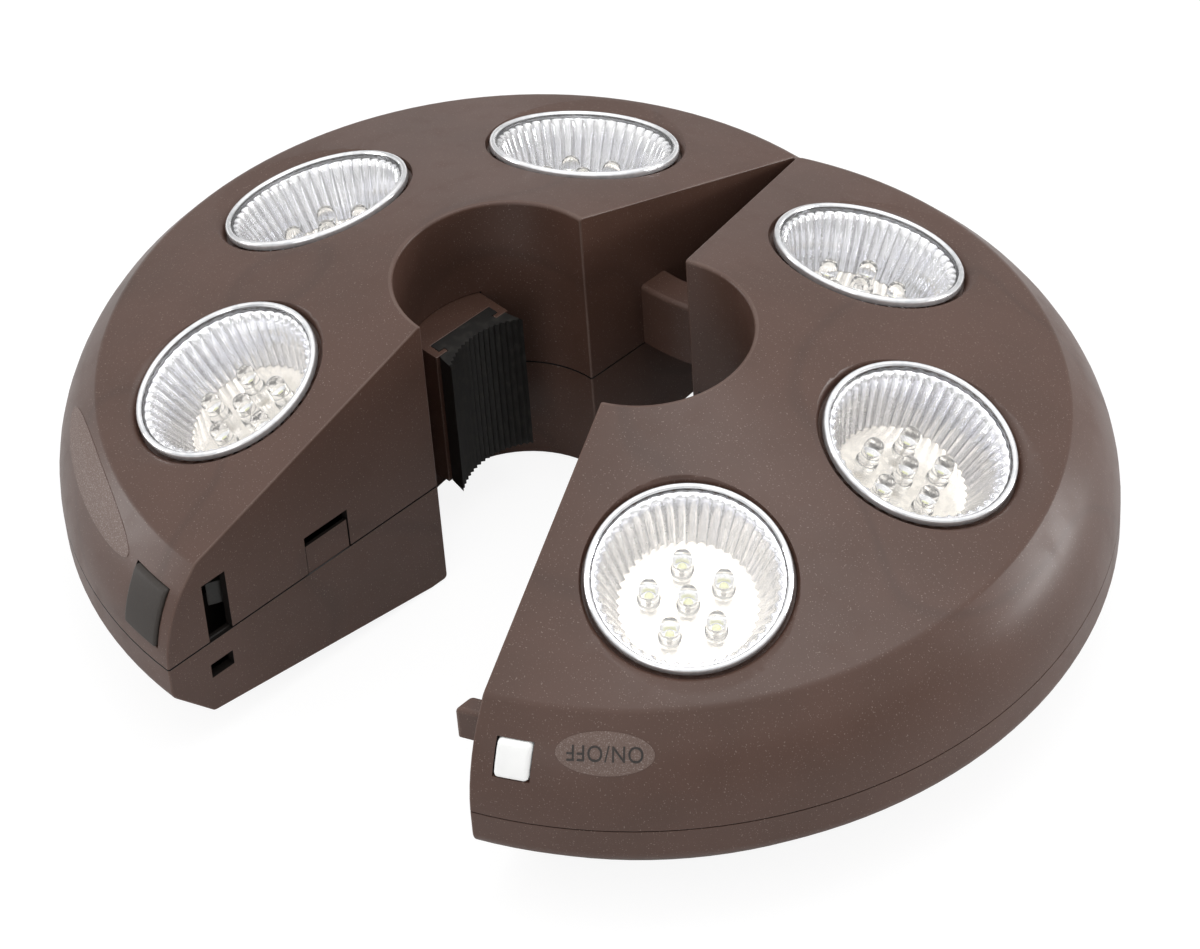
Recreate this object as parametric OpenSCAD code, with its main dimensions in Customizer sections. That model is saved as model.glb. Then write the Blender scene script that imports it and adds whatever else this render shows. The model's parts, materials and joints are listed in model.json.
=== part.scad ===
// Patio umbrella light: two hinged half rings that clamp round an umbrella pole,
// with six tilted lamp cups, sprung pole pads, a push latch and two battery bays.

/* [Body] */
// Radius of the shut light at its seam
body_r = 117.8; // [114:0.5:122]
// Radius of the bore that the pole runs through
bore_r = 27.4; // [26.5:0.2:29]
// Height at the upper edge of the bore
body_h = 87; // [85:0.5:90]
// Height of the seam between the upper and lower shells
seam_z = 32.8; // [31.6:0.2:34]
// Distance of the crest inside the seam radius
crest_in = 12.8; // [11.3:0.5:14.8]
// Height of the crest
crest_z = 60.3; // [59.5:0.2:62]
// Rounding of the crest
crest_round = 4; // [2:0.5:6]
// How far the flank swells out of a straight line
flank_swell = 3.1; // [2:0.1:3.6]
// Height at which the lower band turns in
band_z = 23.3; // [22:0.3:25]
// Distance of the lower edge inside the seam radius
under_in = 11.9; // [9.9:0.5:13.9]
// Height of the lower edge
edge_z = 9.8; // [8.5:0.2:11]
// Width of the flat foot round the bore
foot_w = 5.6; // [4.5:0.2:7]
// Thickness of the shells
wall = 2.4; // [2:0.1:2.7]
// Gap between the two halves when the light is shut
shut_gap = 0.5; // [0.3:0.1:0.9]
// Height of the shadow line along the seam
line_h = 0.25; // [0.15:0.05:0.35]

/* [Hinge] */
// Angle between the halves when the light is open
open_angle = 23.4; // [18:0.4:24]
// Distance of the hinge axis inside the seam radius
hinge_in = 13.1; // [12.3:0.2:14.3]
// Radius of the hinge knuckles
knuckle_r = 5.2; // [4.6:0.1:5.4]
// Radius of the hinge pin
pin_r = 2; // [1.5:0.1:2.5]
// Running clearance round the pin
pin_play = 0.05; // [0.03:0.01:0.08]

/* [Stop arm] */
// Radius of the arm's inner side, from the hinge axis
arm_in_r = 48.9; // [48:0.3:51]
// Radius of the arm's outer side, from the hinge axis
arm_out_r = 58; // [56:0.3:59]
// Height of the arm above the seam
arm_h = 19.5; // [14:0.5:19.5]
// Angle that the arm reaches past its own cut face
arm_reach = 30; // [28.6:0.2:30.4]

/* [Lamps] */
// Radius of a lamp's rim
lamp_r = 25; // [23:0.5:25.5]
// Distance of the lamp centres from the bore axis
lamp_ring_r = 72.5; // [71:0.5:74]
// Angle between neighbouring lamps of one half
lamp_pitch = 60; // [56:1:60]
// Outward tilt of the lamps
lamp_tilt = 20.4; // [18:0.4:22]
// Gap between a lamp's rim and its hole
lamp_gap = 0.6; // [0.4:0.1:0.9]
// Radius of the rounded edge of a lamp's hole
hole_round = 3; // [2:0.25:3.5]
// Thickness of the clear lens at its rim
lens_t = 2.2; // [1.8:0.1:2.6]
// How far the middle of the lens lies below its rim
lens_sink = 0.9; // [0.5:0.1:1.2]
// Radius at the mouth of the fluted reflector
cup_mouth_r = 21.6; // [20.5:0.2:22]
// Radius at the floor of the fluted reflector
cup_floor_r = 16.6; // [15.5:0.2:17.4]
// Depth of the lamp's floor below its rim
cup_depth = 17; // [15:0.5:17.5]
// Number of flutes round a reflector
flutes = 44; // [32:2:52]
// Depth of one flute
flute_d = 0.9; // [0.5:0.1:1.1]

/* [LEDs] */
// Radius of the ring of five LEDs
led_ring_r = 9.6; // [8.6:0.2:11]
// Radius of an LED's dome
led_r = 2.5; // [2.2:0.1:2.7]
// Height of an LED above its board
led_h = 8.6; // [7.5:0.2:9.5]

/* [Latch] */
// Distance of the latch tab's middle inside the seam radius
tab_in = 16.95; // [16.2:0.25:17.7]
// Width of the latch tab
tab_w = 5.5; // [5:0.1:6]
// Height of the underside of the latch tab
tab_z = 41.5; // [40.5:0.25:42.5]
// Height of the latch tab itself
tab_h = 9.5; // [8:0.5:10]
// Reach of the latch tab past its cut face
tab_reach = 8.6; // [8.2:0.1:9]
// Width of the lock button
lock_w = 13.2; // [11.5:0.2:14]
// Distance of the lock button's near side from the cut face
lock_x = 4.3; // [3.9:0.1:5]
// Height of the lock button's lower edge
lock_z = 38; // [37:0.25:39]
// Height of the lock button
lock_h = 15.2; // [13:0.4:16]
// Travel of the lock button
lock_travel = 2.4; // [2.2:0.1:2.8]

/* [Power button] */
// Width of the power button
power_w = 8.9; // [8:0.1:9.4]
// Distance of the power button's near side from the cut face
power_x = 6.1; // [5.6:0.1:7]
// Height of the power button's lower edge
power_z = 44.6; // [43:0.2:46]
// Height of the power button
power_h = 8.9; // [8:0.1:9.6]
// Travel of the power button
power_travel = 1.5; // [1:0.1:1.8]

/* [Pole clamp] */
// Half the width of a pole pad
pad_half_w = 12.5; // [11.5:0.25:13]
// Height of the pad's lower edge
pad_z = 15; // [14:0.5:17]
// Height of the pad
pad_h = 43; // [39:0.5:43.5]
// Distance of the pad's tips from the cut face
pad_tip_x = 8.4; // [7.5:0.3:9.3]
// Radius of the pad's hollow face
pad_face_r = 20; // [18:0.5:24]
// Ribs on the pad's face
pad_ribs = 17; // [13:2:21]
// Travel of a pad against its springs
pad_travel = 12; // [10:0.5:12.4]

/* [Batteries] */
// Radius of a cell
cell_r = 7.25; // [7.05:0.05:7.35]
// Length of a cell over its button
cell_l = 50.5; // [49.5:0.25:51]
// Distance of the battery bay's middle from the bore axis
bay_x = 75.5; // [74.5:0.25:76.5]
// Thickness of the battery door
door_t = 1.6; // [1.3:0.1:1.8]
// Clearance round the battery door
door_gap = 0.3; // [0.2:0.05:0.4]

/* [Fasteners] */
// Radius of the case screws
screw_r = 1.4; // [1.2:0.1:1.6]
// Radius of a case screw's head
screw_head_r = 2.8; // [2.5:0.1:3]
// Length of a case screw under its head
screw_l = 16; // [13:0.5:17]

/* [Hidden] */
$fn = 96;

EPS = 0.01;
reach = 1.2 * body_r;           // beyond the body on every side
clear = 0.3;                    // between pieces that pass each other
half_open = open_angle / 2;
crest_r = body_r - crest_in;
edge_r = body_r - under_in;
hinge_y = body_r - hinge_in;
tab_y = body_r - tab_in;

// The light stands open, so its middle lies a little behind the bore axis of the shut light
rear_y = hinge_y * (1 - cos(half_open)) + body_r;
front_y = hinge_y + shut_gap / 2 * sin(half_open) - (hinge_y + body_r) * cos(half_open);
mid_y = (rear_y + front_y) / 2;

// Slopes of the upper cone and of the underside
top_slope = (body_h - crest_z) / (crest_r - bore_r);
foot_r = bore_r + foot_w;
under_slope = edge_z / (edge_r - foot_r);
function top_at(r) = body_h - (r - bore_r) * top_slope;
function under_at(r) = (r - foot_r) * under_slope;

// Hinge
face_x = shut_gap / 2;
knuckle_gap = 0.3;
root_r = knuckle_r + knuckle_gap + wall;
line_d = wall / 2;              // depth of the shadow line
stack_low = seam_z - 17.8;      // the knuckles stay inside the rim from here
stack_high = seam_z + 21.2;     // to here
knuckle_low = stack_low + 7;    // left lower knuckle below, right lower above
knuckle_high = seam_z + 12;     // right upper knuckle below, left upper above
pin_end = 1.5;                  // shell left beyond each end of the pin

// Lamps
lamp_z = top_at(lamp_ring_r);
hole_r = lamp_r + lamp_gap;
collar_r = hole_r + wall - 0.4;
flange_t = 1.1;                 // flange of the reflector, under the lens
seat_w = -(lens_t + flange_t + 0.2);
seat_t = 1.7;
cup_wall = 1.5;
board_t = 1.6;
board_r = cup_floor_r + 1;
led_count = 5;

// Latch
slot_top = tab_z + tab_h + 1;
slot_y = tab_y - 0.3;
slot_w = tab_w + 2;
tab_slant = 2.2;                // by which the tab is shorter on its inner side
nose_x = tab_reach - 3.4;       // back of the bolt's nose, from the cut face
nose_tip = 0.95 * lock_travel - 0.5;   // how far the nose stands into the tab
nose_l = 2.3;                   // length of the nose's ramp
bolt_z = tab_z - 2.7;
bolt_h = 7.6;
bolt_t = 4.2;
bolt_x = lock_x + 6.6;
bolt_front = tab_y - tab_w / 2 - 3;    // front of the bolt's crosspiece
bolt_back = bolt_front - 3.2;          // back of the crosspiece
lock_proud = 0.9;
lock_skin = 2.8;
spring_room = 7.5;              // from the bolt's crosspiece to its spring's seat
seat_plate = 2;
vent_y = tab_y + 0.65;          // small slot below the latch
vent_w = 7.2;
vent_z = seam_z - 11.9;
vent_h = 4.5;
snap_y = [body_r - 60.5, body_r - 46.2];
snap_top = seam_z + 12.3;
tongue_t = 0.9;

// Power button and its switch
power_back = body_r - 12.8;     // where the button's window ends inside the shell
power_proud = 0.7;
power_skin = 5;
stem_y = power_back + 2.2;      // end of the button's stem
stem_w = 4;
switch_front = power_back - 1.6;
switch_l = 8.6;

// Driver board, under the front lamp of the right half
board_at = [10, -body_r + 21.8];
board_z = seam_z - 4.8;
board_size = [36, 22, 1.6];
post_spots = [[3, 3], [33, 19]];

// Pole clamp
carrier_front = pad_tip_x + 10.3;
carrier_back = carrier_front + 17.3;
lip_x = pad_tip_x + 5.6;
lip_t = 1.3;
lip_half = pad_half_w - 4;
sleeve_gap = 0.3;
sleeve_t = 2;
sleeve_half = pad_half_w + sleeve_gap;
sleeve_top = pad_z + pad_h + sleeve_gap;
spring_seat_x = carrier_back + pad_travel + 4.2;
spring_seat_half = pad_half_w - 3.5;
sleeve_end_x = spring_seat_x - 6;
pocket_d = 9;                   // depth of a spring pocket in the carrier
spring_r = 3;
wire_r = 0.4;

// Battery bays, drawn in a frame that follows the underside
cell_pitch = 2 * cell_r + 1.4;
bay_half_w = cell_pitch / 2 + cell_r + 0.8;
bay_half_l = cell_l / 2 + 4;
bay_wall = 1.6;
bay_floor = wall + 1.2;
cell_z = bay_floor + cell_r;
bay_top = cell_z + cell_r + 0.6;
door_half_w = bay_half_w + 1.6;
door_half_l = bay_half_l + 1.6;
barrel_r = 1.6;
barrel_x = door_half_w + door_gap + 1.6;
barrel_half = 12;
socket_gap = 0.25;

// Screws
boss_r = screw_r + 2.6;
post_r = screw_head_r + 1.8;
seat_z = seam_z - 6;
screw_out_r = body_r - 19.8;
screw_in_r = bore_r + 12.6;
screw_spots = [[screw_out_r, 30], [screw_out_r, -30], [screw_in_r, 62], [screw_in_r, -62]];

brown = [0.36, 0.29, 0.26];
black = [0.07, 0.07, 0.07];
silver = [0.85, 0.86, 0.88];

// ---------- Outlines ----------

function unit(v) = v / norm(v);
function right_of(v) = [v.y, -v.x];

// Corner b of the path a, b, c moved d to the path's right
function inset(a, b, c, d) =
    let (nu = right_of(unit(b - a)), nv = right_of(unit(c - b)), m = unit(nu + nv))
    b + m * d / (m * nu);

// Points that round corner b of the path a, b, c
function fillet(a, b, c, r, n = 5) =
    let (
        u = unit(a - b), v = unit(c - b), half = acos(u * v) / 2,
        centre = b + unit(u + v) * r / sin(half),
        p = b + u * r / tan(half) - centre, q = b + v * r / tan(half) - centre,
        start = atan2(p.y, p.x), turn = (atan2(q.y, q.x) - start + 540) % 360 - 180
    )
    [for (i = [0:n]) centre + r * [cos(start + turn * i / n), sin(start + turn * i / n)]];

// Points of an arc from a to c that swells s to the left of the straight line
function bow(a, c, s, n = 8) =
    let (
        chord = norm(c - a), r = (chord * chord / 4 + s * s) / (2 * s),
        half = asin(chord / 2 / r), along = unit(c - a), out = -right_of(along)
    )
    [for (i = [0:n]) let (t = half * (2 * i / n - 1))
        (a + c) / 2 + along * r * sin(t) + out * (r * cos(t) - r + s)];

// Half section of the upper shell, set in by d all round
function top_section(d) =
    let (
        bore = [bore_r, body_h], crest = [crest_r, crest_z], seam = [body_r, seam_z],
        corner = inset(bore, crest, seam, d), end = [body_r - d, seam_z],
        start = [bore_r + d, top_at(bore_r + d) - d * sqrt(1 + top_slope * top_slope)],
        flank = bow(corner, end, flank_swell),
        low = d > 0 ? seam_z - 1 : seam_z
    )
    concat(
        [[bore_r + d, low], start],
        fillet(start, corner, flank[1], crest_round - d / 2),
        [for (i = [2:len(flank) - 1]) flank[i]],
        d > 0 ? [[body_r - d, low]] : []
    );

// Half section of the lower shell, set in by d all round. Its own outline stands back by
// the shadow line at the seam, outside and in the bore
function base_section(d) =
    let (
        seam = [body_r, seam_z], band = [body_r, band_z], edge = [edge_r, edge_z],
        foot = [foot_r, 0], bore = [bore_r, 0],
        band_in = inset(seam, band, edge, d), edge_in = inset(band, edge, foot, d),
        foot_in = inset(edge, foot, bore, d),
        high = d > 0 ? seam_z + 1 : seam_z
    )
    concat(
        d > 0 ? [[body_r - d, high]]
            : [[body_r - line_d, high], [body_r - line_d, high - line_h], [body_r, high - line_h]],
        fillet([body_r - d, seam_z], band_in, edge_in, 5 - d / 2),
        fillet(band_in, edge_in, foot_in, 2),
        [foot_in, [bore_r + d, d]],
        d > 0 ? [[bore_r + d, high]]
            : [[bore_r, high - line_h], [bore_r + line_d, high - line_h], [bore_r + line_d, high]]
    );

// Plan of one half, its faces set back by d; behind the hinge it is relieved
module half_plan(d) {
    far = reach;
    polygon([
        [d, -far], [far, -far], [far, far],
        [(d + (far - hinge_y) * sin(half_open)) / cos(half_open), far],
        [d, hinge_y - d * tan(half_open / 2)]
    ]);
}

module half_space(d) {
    translate([0, 0, -1]) linear_extrude(body_h + 2) half_plan(d);
}

module top_solid(d) {
    intersection() {
        rotate_extrude() polygon(top_section(d));
        half_space(face_x + d);
    }
}

module base_solid(d) {
    intersection() {
        rotate_extrude() polygon(base_section(d));
        half_space(face_x + d);
    }
}

// ---------- Places ----------

// Both halves are drawn on the +X side of the bore axis; the left one is mirrored
module on_right() {
    translate([0, hinge_y - mid_y, 0]) rotate([0, 0, half_open])
        translate([0, -hinge_y, 0]) children();
}

module on_left() {
    mirror([1, 0, 0]) on_right() children();
}

// A lamp of one half: -1 in front, 0 in the middle, 1 behind
module at_lamp(spot) {
    rotate([0, 0, spot * lamp_pitch]) translate([lamp_ring_r, 0, lamp_z])
        rotate([0, lamp_tilt, 0]) children();
}

// Lamps 1 to 3 run from front to back on the left, 4 to 6 from back to front on the right
module on_lamp(n) {
    if (n <= 3) on_left() at_lamp(n - 2) children();
    else on_right() at_lamp(5 - n) children();
}

module at_bay() {
    translate([bay_x, 0, under_at(bay_x)]) rotate([0, -atan(under_slope), 0]) children();
}

module at_screws() {
    for (s = screw_spots) rotate([0, 0, s[1]]) translate([s[0], 0, 0]) children();
}

module block(low, high) {
    translate(low) cube(high - low);
}

// ---------- Shells ----------

// Bell-shaped cutter that rounds the edge of a lamp's hole and runs out in a shallow dish
module hole_edge() {
    lift = 2;
    rotate_extrude() polygon(concat(
        [[hole_r - 1, -hole_round], [hole_r, -hole_round]],
        [for (a = [15:15:75]) [hole_r + hole_round * (1 - cos(a)), hole_round * (sin(a) - 1)]],
        [[hole_r + 3 * hole_round, lift], [hole_r - 1, lift]]
    ));
}

module lamp_holes() {
    for (spot = [-1:1]) at_lamp(spot) {
        translate([0, 0, seat_w]) cylinder(r = hole_r, h = 12);
        translate([0, 0, seat_w - seat_t - 1]) cylinder(r = cup_mouth_r + 2.2, h = 4);
        translate([0, 0, -0.4]) hole_edge();
    }
}

module lamp_collars() {
    for (spot = [-1:1]) at_lamp(spot)
        translate([0, 0, seat_w - seat_t]) cylinder(r = collar_r, h = 16);
}

// Solid root that stays round the hinge axis, inside the shells
module hinge_root() {
    translate([0, hinge_y, 0]) cylinder(r = root_r, h = body_h);
}

module at_hinge(low, high) {
    translate([0, hinge_y, low]) linear_extrude(high - low) children();
}

// Sleeve that guides a pole pad, and the space inside it
module sleeve(grow) {
    half = sleeve_half + grow;
    block([bore_r - 1, -half, -1], [sleeve_end_x, half, sleeve_top + grow]);
}

module pad_window() {
    x = sqrt(bore_r * bore_r - sleeve_half * sleeve_half) - 2;
    block([x, -sleeve_half, pad_z - sleeve_gap], [sleeve_end_x + EPS, sleeve_half, sleeve_top]);
}

// Snap window of the front face and the tongue that stands in it
module snap_window() {
    block([-1, -snap_y[1], seam_z - 1], [wall + 1, -snap_y[0], snap_top]);
}

module snap_tongue() {
    x = face_x + 0.25;
    block([x, -snap_y[1] + clear, seam_z - 4],
        [x + tongue_t, -snap_y[0] - clear, snap_top - 3.3]);
}

module top_shell() {
    difference() {
        top_solid(0);
        difference() {
            top_solid(wall);
            hinge_root();
            lamp_collars();
            sleeve(sleeve_t);
            at_screws() translate([0, 0, seam_z]) cylinder(r = boss_r, h = body_h);
            children();
        }
        lamp_holes();
        pad_window();
        snap_window();
        at_screws() translate([0, 0, seam_z - 1]) cylinder(r = screw_r + 0.05, h = screw_l - 4);
    }
}

module base_shell() {
    difference() {
        base_solid(0);
        difference() {
            base_solid(wall);
            hinge_root();
            sleeve(sleeve_t);
            at_bay() block([-bay_half_w - bay_wall, -bay_half_l - bay_wall, -5],
                [bay_half_w + bay_wall, bay_half_l + bay_wall, bay_top + bay_wall]);
            at_bay() door_socket(barrel_r + socket_gap + wall, barrel_half + wall);
            at_screws() cylinder(r = post_r, h = body_h);
            children();
        }
        pad_window();
        battery_bay();
        block([-1, -reach, seam_z - line_h], [face_x + line_d, reach, seam_z + 1]);
        at_screws() {
            cylinder(r = screw_head_r + clear, h = seat_z);
            cylinder(r = screw_r + clear, h = seam_z + 1);
        }
    }
    snap_tongue();
    // Seat of the pad springs, which stands up into the upper shell
    difference() {
        block([spring_seat_x, -spring_seat_half, wall],
            [spring_seat_x + wall, spring_seat_half, pad_z + pad_h - 6]);
        battery_bay();
    }
}

// Hole of the hinge pin, open between the levels given
module pin_hole(low, high) {
    translate([0, hinge_y, low]) cylinder(r = pin_r + pin_play, h = high - low);
}

module knuckle(low, high) {
    translate([0, hinge_y, low]) cylinder(r = knuckle_r, h = high - low);
}

module knuckle_room(low, high) {
    translate([0, hinge_y, low]) cylinder(r = knuckle_r + knuckle_gap, h = high - low);
}

module door_socket(r, half) {
    translate([-barrel_x, -half, barrel_r]) rotate([-90, 0, 0]) cylinder(r = r, h = 2 * half);
}

// Everything that the battery bay takes out of the lower shell
module battery_bay() {
    at_bay() {
        block([-bay_half_w, -bay_half_l, -5], [bay_half_w, bay_half_l, bay_top]);
        door_socket(barrel_r + socket_gap, barrel_half + clear);
        block([-barrel_x - barrel_r - 0.6, -barrel_half - clear, -5],
            [-barrel_x, barrel_half + clear, 0.9]);
        block([-barrel_x, -barrel_half - clear, -5],
            [-door_half_w, barrel_half + clear, barrel_r + socket_gap]);
        translate([door_half_w + 5, 0, -6.6]) sphere(r = 8.2);
    }
    difference() {
        at_bay() block([-door_half_w - door_gap, -door_half_l - door_gap, -5],
            [door_half_w + door_gap, door_half_l + door_gap, 8]);
        rotate_extrude() polygon(base_section(door_t + 0.1));
    }
}

module left_top_shell() color(brown) on_left() {
    difference() {
        union() {
            difference() {
                top_shell() lock_frame();
                knuckle_room(seam_z - 1, knuckle_high + knuckle_gap);
                latch_slot();
                lock_window(clear);
            }
            knuckle(knuckle_high + knuckle_gap, stack_high);
        }
        pin_hole(seam_z, stack_high - pin_end);
    }
    stop_arm();
}

module left_base_shell() color(brown) on_left() {
    difference() {
        union() {
            difference() {
                base_shell() latch_shelf();
                knuckle_room(knuckle_low - knuckle_gap, seam_z + 1);
                block([-1, -vent_y - vent_w / 2, vent_z],
                    [wall + 1, -vent_y + vent_w / 2, vent_z + vent_h]);
            }
            knuckle(stack_low, knuckle_low - knuckle_gap);
        }
        pin_hole(stack_low + pin_end, seam_z);
    }
    difference() {
        latch_shelf();
        translate([0, 0, -EPS]) block([0, -reach, 0], [reach, 0, seam_z]);
    }
}

module right_top_shell() color(brown) on_right() {
    difference() {
        top_shell() power_bracket();
        knuckle_room(knuckle_high, stack_high + knuckle_gap);
        pin_hole(seam_z - 1, knuckle_high + 1);
        arm_window();
        power_window(clear / 2);
        power_pocket();
    }
    difference() {
        knuckle(seam_z, knuckle_high);
        pin_hole(seam_z - 1, knuckle_high + 1);
    }
    latch_tab();
}

module right_base_shell() color(brown) on_right() {
    difference() {
        base_shell() board_posts();
        knuckle_room(stack_low - knuckle_gap, knuckle_low);
        pin_hole(knuckle_low - 1, seam_z + 1);
    }
    difference() {
        knuckle(knuckle_low, seam_z);
        pin_hole(knuckle_low - 1, seam_z + 1);
    }
}

// ---------- Hinge ----------

module hinge_pin() color(silver) on_right() {
    low = stack_low + pin_end + 0.2;
    high = stack_high - pin_end - 0.2;
    translate([0, hinge_y, low]) cylinder(r = pin_r, h = high - low);
}

// Curved arm of the left half that runs into the right half and stops it at full opening
module stop_arm() {
    tip = 3;                    // angle that the hook takes up
    hook = 2;
    root = 12;                  // angle by which the arm is rooted in its own half
    translate([0, hinge_y, seam_z]) {
        difference() {
            rotate([0, 0, -90 - arm_reach]) rotate_extrude(angle = arm_reach + root)
                translate([arm_in_r, 0]) square([arm_out_r - arm_in_r, arm_h]);
            rotate([0, 0, -90 - arm_reach - 1]) rotate_extrude(angle = arm_reach + root + 2)
                translate([arm_in_r + 1.8, -1]) square([arm_out_r - arm_in_r - 3.6, arm_h - 0.8]);
        }
        rotate([0, 0, -90 - arm_reach]) rotate_extrude(angle = tip)
            translate([arm_out_r - EPS, 0]) square([hook, arm_h]);
    }
}

// Window of the right half that the arm runs through
module arm_window() {
    block([-1, hinge_y - arm_out_r - 0.6, seam_z - 1],
        [wall + 1, hinge_y - arm_in_r + 0.9, seam_z + arm_h + 0.4]);
}

// ---------- Latch ----------

module latch_slot() {
    block([-1, -slot_y - slot_w / 2, seam_z - 1], [wall + 1, -slot_y + slot_w / 2, slot_top]);
}

// Tab of the right half: its slanted end pushes the bolt aside, and the notch in the lower
// part of its inner side drops over the bolt's nose
module latch_tab() {
    outer = -tab_y - tab_w / 2;
    inner = -tab_y + tab_w / 2;
    floor_y = inner - nose_tip - clear;
    difference() {
        translate([0, 0, tab_z]) linear_extrude(tab_h) polygon([
            [face_x + wall, outer], [-tab_reach, outer], [-tab_reach + tab_slant, inner],
            [face_x + wall, inner]
        ]);
        translate([0, 0, tab_z - 1]) linear_extrude(bolt_z + bolt_h + clear - tab_z + 1) polygon([
            [-nose_x - clear, inner + 1], [-nose_x - clear, floor_y],
            [-nose_x + 0.6, floor_y], [-nose_x + nose_l, inner], [-nose_x + nose_l, inner + 1]
        ]);
    }
}

module lock_window(gap) {
    block([lock_x - gap, -reach, lock_z - gap],
        [lock_x + lock_w + gap, -tab_y - tab_w / 2 - 2, lock_z + lock_h + gap]);
}

// Thick frame that stays inside the shell round the lock button
module lock_frame() {
    block([0, -reach, seam_z - 2], [lock_x + lock_w + 2, -body_r + 9.4, lock_z + lock_h + 2]);
}

// Skin of a button: the shell's own curve, stood proud by a little, within a block
module button_skin_of(proud, skin) {
    intersection() {
        difference() {
            rotate_extrude() polygon(top_section(-proud));
            translate([0, skin, 0]) rotate_extrude() polygon(top_section(-proud));
        }
        children();
    }
}

module lock_button() color(black) on_left() {
    button_skin_of(lock_proud, lock_skin) lock_window(0);
}

// Bolt behind the lock button, hooked round the tab's path, its nose towards the front
module latch_bolt() color([0.2, 0.2, 0.2]) on_left() {
    inner = -tab_y + tab_w / 2;
    intersection() {
        translate([0, 0, bolt_z]) linear_extrude(bolt_h) polygon([
            [bolt_x, -reach], [bolt_x + bolt_t, -reach], [bolt_x + bolt_t, -bolt_back],
            [nose_x - nose_l, -bolt_back], [nose_x - nose_l, -bolt_front],
            [nose_x, inner - nose_tip], [nose_x, -bolt_front], [bolt_x, -bolt_front]
        ]);
        translate([0, lock_skin + 0.05, 0])
            rotate_extrude() polygon(top_section(-lock_proud));
    }
}

// Shelf under the bolt, with the seat of its spring
module latch_shelf() {
    x = [bolt_x - 1.5, bolt_x + bolt_t + 1.5];
    y = -bolt_back + spring_room;
    block([x[0], -body_r + 10.8, 0], [x[1], y + seat_plate, bolt_z - clear]);
    block([x[0], y, 0], [x[1], y + seat_plate, bolt_z + bolt_h]);
}

module lock_spring() color(silver) on_left() {
    translate([bolt_x + bolt_t / 2, 0.1 - bolt_back, bolt_z + bolt_h / 2]) rotate([-90, 0, 0])
        coil(2.2, 0.3, spring_room - 0.2, 5);
}

// ---------- Power button ----------

module power_window(gap) {
    block([power_x - gap, -reach, power_z - gap],
        [power_x + power_w + gap, -power_back, power_z + power_h + gap]);
}

// Button with a square stem behind it
module power_button() color([0.92, 0.91, 0.88]) on_right() {
    x = power_x + power_w / 2;
    z = power_z + power_h / 2;
    button_skin_of(power_proud, power_skin) power_window(-0.1);
    intersection() {
        block([x - stem_w / 2, -reach, z - stem_w / 2], [x + stem_w / 2, -stem_y, z + stem_w / 2]);
        rotate_extrude() polygon(top_section(-power_proud));
    }
}

module power_bracket() {
    block([power_x - 1.6, -power_back, power_z],
        [power_x + power_w + 1.6, -switch_front + switch_l + 1.8, body_h]);
}

module power_pocket() {
    block([power_x - 0.1, -power_back - 1, power_z - 1],
        [power_x + power_w + 0.1, -switch_front + switch_l + 0.2, power_z + power_h + 0.2]);
}

module power_switch() color([0.25, 0.25, 0.26]) on_right() {
    block([power_x + 0.1, -switch_front, power_z + 0.4],
        [power_x + power_w - 0.1, -switch_front + switch_l, power_z + power_h]);
    translate([power_x + power_w / 2, -switch_front, power_z + power_h / 2]) rotate([90, 0, 0])
        cylinder(r = 1.6, h = stem_y - switch_front - power_travel - clear);
}

// ---------- Pole clamp ----------

// Plan of the carrier: a block behind, two lips that hold the rubber in front
module carrier_plan() {
    side = pad_half_w;
    slot = side - 2.2;
    polygon([
        [carrier_back, -side], [carrier_back, side], [lip_x, side], [lip_x, lip_half],
        [lip_x + lip_t, lip_half], [lip_x + lip_t, slot], [carrier_front, slot],
        [carrier_front, -slot], [lip_x + lip_t, -slot], [lip_x + lip_t, -lip_half],
        [lip_x, -lip_half], [lip_x, -side]
    ]);
}

module at_pad_springs() {
    for (z = [pad_z + 9, pad_z + pad_h - 13]) translate([0, 0, z]) rotate([0, 90, 0]) children();
}

module pad_carrier() {
    difference() {
        translate([0, 0, pad_z]) linear_extrude(pad_h) carrier_plan();
        at_pad_springs() translate([0, 0, carrier_back - pocket_d]) cylinder(r = 4.2, h = 20);
        block([carrier_front + 3, -pad_half_w + 2, pad_z + 18], [carrier_back + 1,
            pad_half_w - 2, pad_z + pad_h - 20.5]);
    }
}

// Rubber pad: a T foot behind the lips, a neck, and a flared ribbed face
module pad_rubber() {
    g = 0.15;
    tip = [pad_tip_x, pad_half_w];
    centre_x = pad_tip_x - sqrt(pad_face_r * pad_face_r - pad_half_w * pad_half_w);
    half = asin(pad_half_w / pad_face_r);
    slot = pad_half_w - 2.2;
    n = 2 * pad_ribs;
    rib = 0.7;
    face = [for (i = [0:n]) let (a = -half + 2 * half * i / n, r = pad_face_r + (i % 2) * rib)
        [centre_x + r * cos(a), r * sin(a)]];
    translate([0, 0, pad_z]) linear_extrude(pad_h) polygon(concat(
        face,
        [[lip_x - g, pad_half_w - 1], [lip_x - g, lip_half - g], [lip_x + lip_t + g, lip_half - g],
         [lip_x + lip_t + g, slot - g], [carrier_front - g, slot - g],
         [carrier_front - g, -slot + g], [lip_x + lip_t + g, -slot + g],
         [lip_x + lip_t + g, -lip_half + g], [lip_x - g, -lip_half + g],
         [lip_x - g, -pad_half_w + 1]]
    ));
}

module pad_springs() {
    back = carrier_back - pocket_d;
    at_pad_springs() translate([0, 0, back + 0.1])
        coil(spring_r, wire_r, spring_seat_x - back - 0.2, 6);
}

module left_pad_carrier() color(brown) on_left() pad_carrier();
module right_pad_carrier() color(brown) on_right() pad_carrier();
module left_pad_rubber() color(black) on_left() pad_rubber();
module right_pad_rubber() color(black) on_right() pad_rubber();
module left_pad_springs() color(silver) on_left() pad_springs();
module right_pad_springs() color(silver) on_right() pad_springs();

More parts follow.
